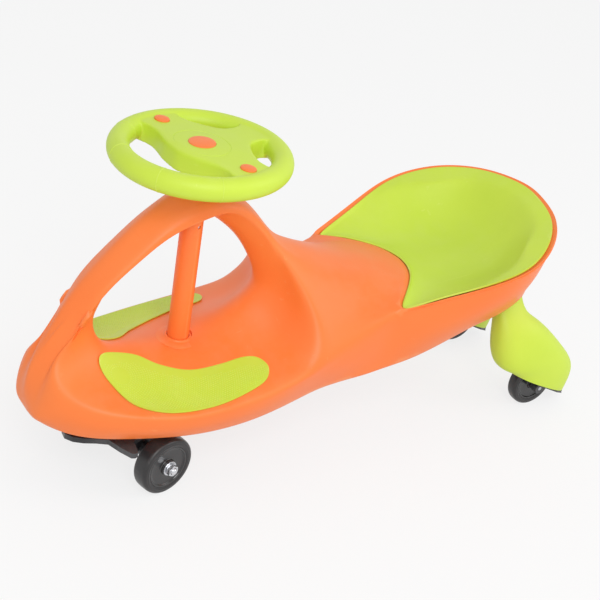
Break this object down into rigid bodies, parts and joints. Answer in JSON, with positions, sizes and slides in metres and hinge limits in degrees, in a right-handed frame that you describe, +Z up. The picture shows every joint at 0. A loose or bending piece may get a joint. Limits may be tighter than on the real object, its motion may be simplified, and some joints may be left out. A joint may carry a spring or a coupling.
{
  "type": "ride-on swing car",
  "caption": "Toddler ride-on swing car with a bowl seat, foot pads, steered front truck, fendered rear wheels and a steering wheel with push buttons.",
  "frame": {"origin": "on the floor, under the middle of the car's overall box", "axes": "+Z up, -X towards the nose, +X towards the seat's tail, +Y towards the car's right side"},
  "size_m": [0.8014, 0.2946, 0.4183],
  "materials": {
    "orange_plastic": "satin",
    "lime_plastic": "satin",
    "black_plastic": "gloss",
    "black_tyre": "satin",
    "zinc_steel": "satin",
    "white_nylon": "matte",
    "board_green": "matte"
  },
  "bodies": {
    "car_body": {"body_shell": "orange_plastic", "seat_insert": "lime_plastic", "foot_pad_left": "lime_plastic", "foot_pad_right": "lime_plastic", "deck_bush": "white_nylon", "bow_bush": "white_nylon", "rear_leg_left": "lime_plastic", "rear_leg_right": "lime_plastic", "wheel_carrier_left": "black_plastic", "wheel_carrier_right": "black_plastic", "rear_axle_left": "zinc_steel", "rear_axle_right": "zinc_steel"},
    "steering": {"steering_wheel": "lime_plastic", "hub_cover": "lime_plastic", "sound_board": "board_green", "steering_shaft": "zinc_steel", "column_sleeve": "orange_plastic", "column_pin": "zinc_steel", "neck_pin": "zinc_steel", "thrust_washer": "zinc_steel", "truck_frame": "black_plastic", "shaft_nut": "zinc_steel", "front_axle": "zinc_steel", "axle_washer_left": "zinc_steel", "axle_washer_right": "zinc_steel", "axle_nut_left": "zinc_steel", "axle_nut_right": "zinc_steel"},
    "front_wheel_left": {"front_tyre_left": "black_tyre", "front_hub_left": "black_plastic"},
    "front_wheel_right": {"front_tyre_right": "black_tyre", "front_hub_right": "black_plastic"},
    "rear_wheel_left": {"rear_tyre_left": "black_tyre", "rear_hub_left": "black_plastic"},
    "rear_wheel_right": {"rear_tyre_right": "black_tyre", "rear_hub_right": "black_plastic"},
    "horn": {"horn_button": "orange_plastic"},
    "tune_left": {"tune_button_left": "orange_plastic"},
    "tune_right": {"tune_button_right": "orange_plastic"}
  },
  "joints": [
    {"name": "steering_turn", "type": "hinge", "parent": "car_body", "child": "steering", "pos_m": [-0.2034, 0, 0.2], "axis": [0, 0, 1], "continuous": true},
    {"name": "front_wheel_left_spin", "type": "hinge", "parent": "steering", "child": "front_wheel_left", "pos_m": [-0.25394, -0.08723, 0.038], "axis": [-0.2267, 0.974, 0], "continuous": true},
    {"name": "front_wheel_right_spin", "type": "hinge", "parent": "steering", "child": "front_wheel_right", "pos_m": [-0.28726, 0.05595, 0.038], "axis": [-0.2267, 0.974, 0], "continuous": true},
    {"name": "rear_wheel_left_spin", "type": "hinge", "parent": "car_body", "child": "rear_wheel_left", "pos_m": [0.3316, -0.0895, 0.035], "axis": [0, 1, 0], "continuous": true},
    {"name": "rear_wheel_right_spin", "type": "hinge", "parent": "car_body", "child": "rear_wheel_right", "pos_m": [0.3316, 0.0895, 0.035], "axis": [0, 1, 0], "continuous": true},
    {"name": "horn_press", "type": "slide", "parent": "steering", "child": "horn", "axis": [0, 0, -1], "range_m": [0, 0.0018], "stiffness_N_per_m": 600, "springref_m": -0.003},
    {"name": "tune_left_press", "type": "slide", "parent": "steering", "child": "tune_left", "axis": [0, 0, -1], "range_m": [0, 0.0018], "stiffness_N_per_m": 600, "springref_m": -0.003},
    {"name": "tune_right_press", "type": "slide", "parent": "steering", "child": "tune_right", "axis": [0, 0, -1], "range_m": [0, 0.0018], "stiffness_N_per_m": 600, "springref_m": -0.003}
  ]
}
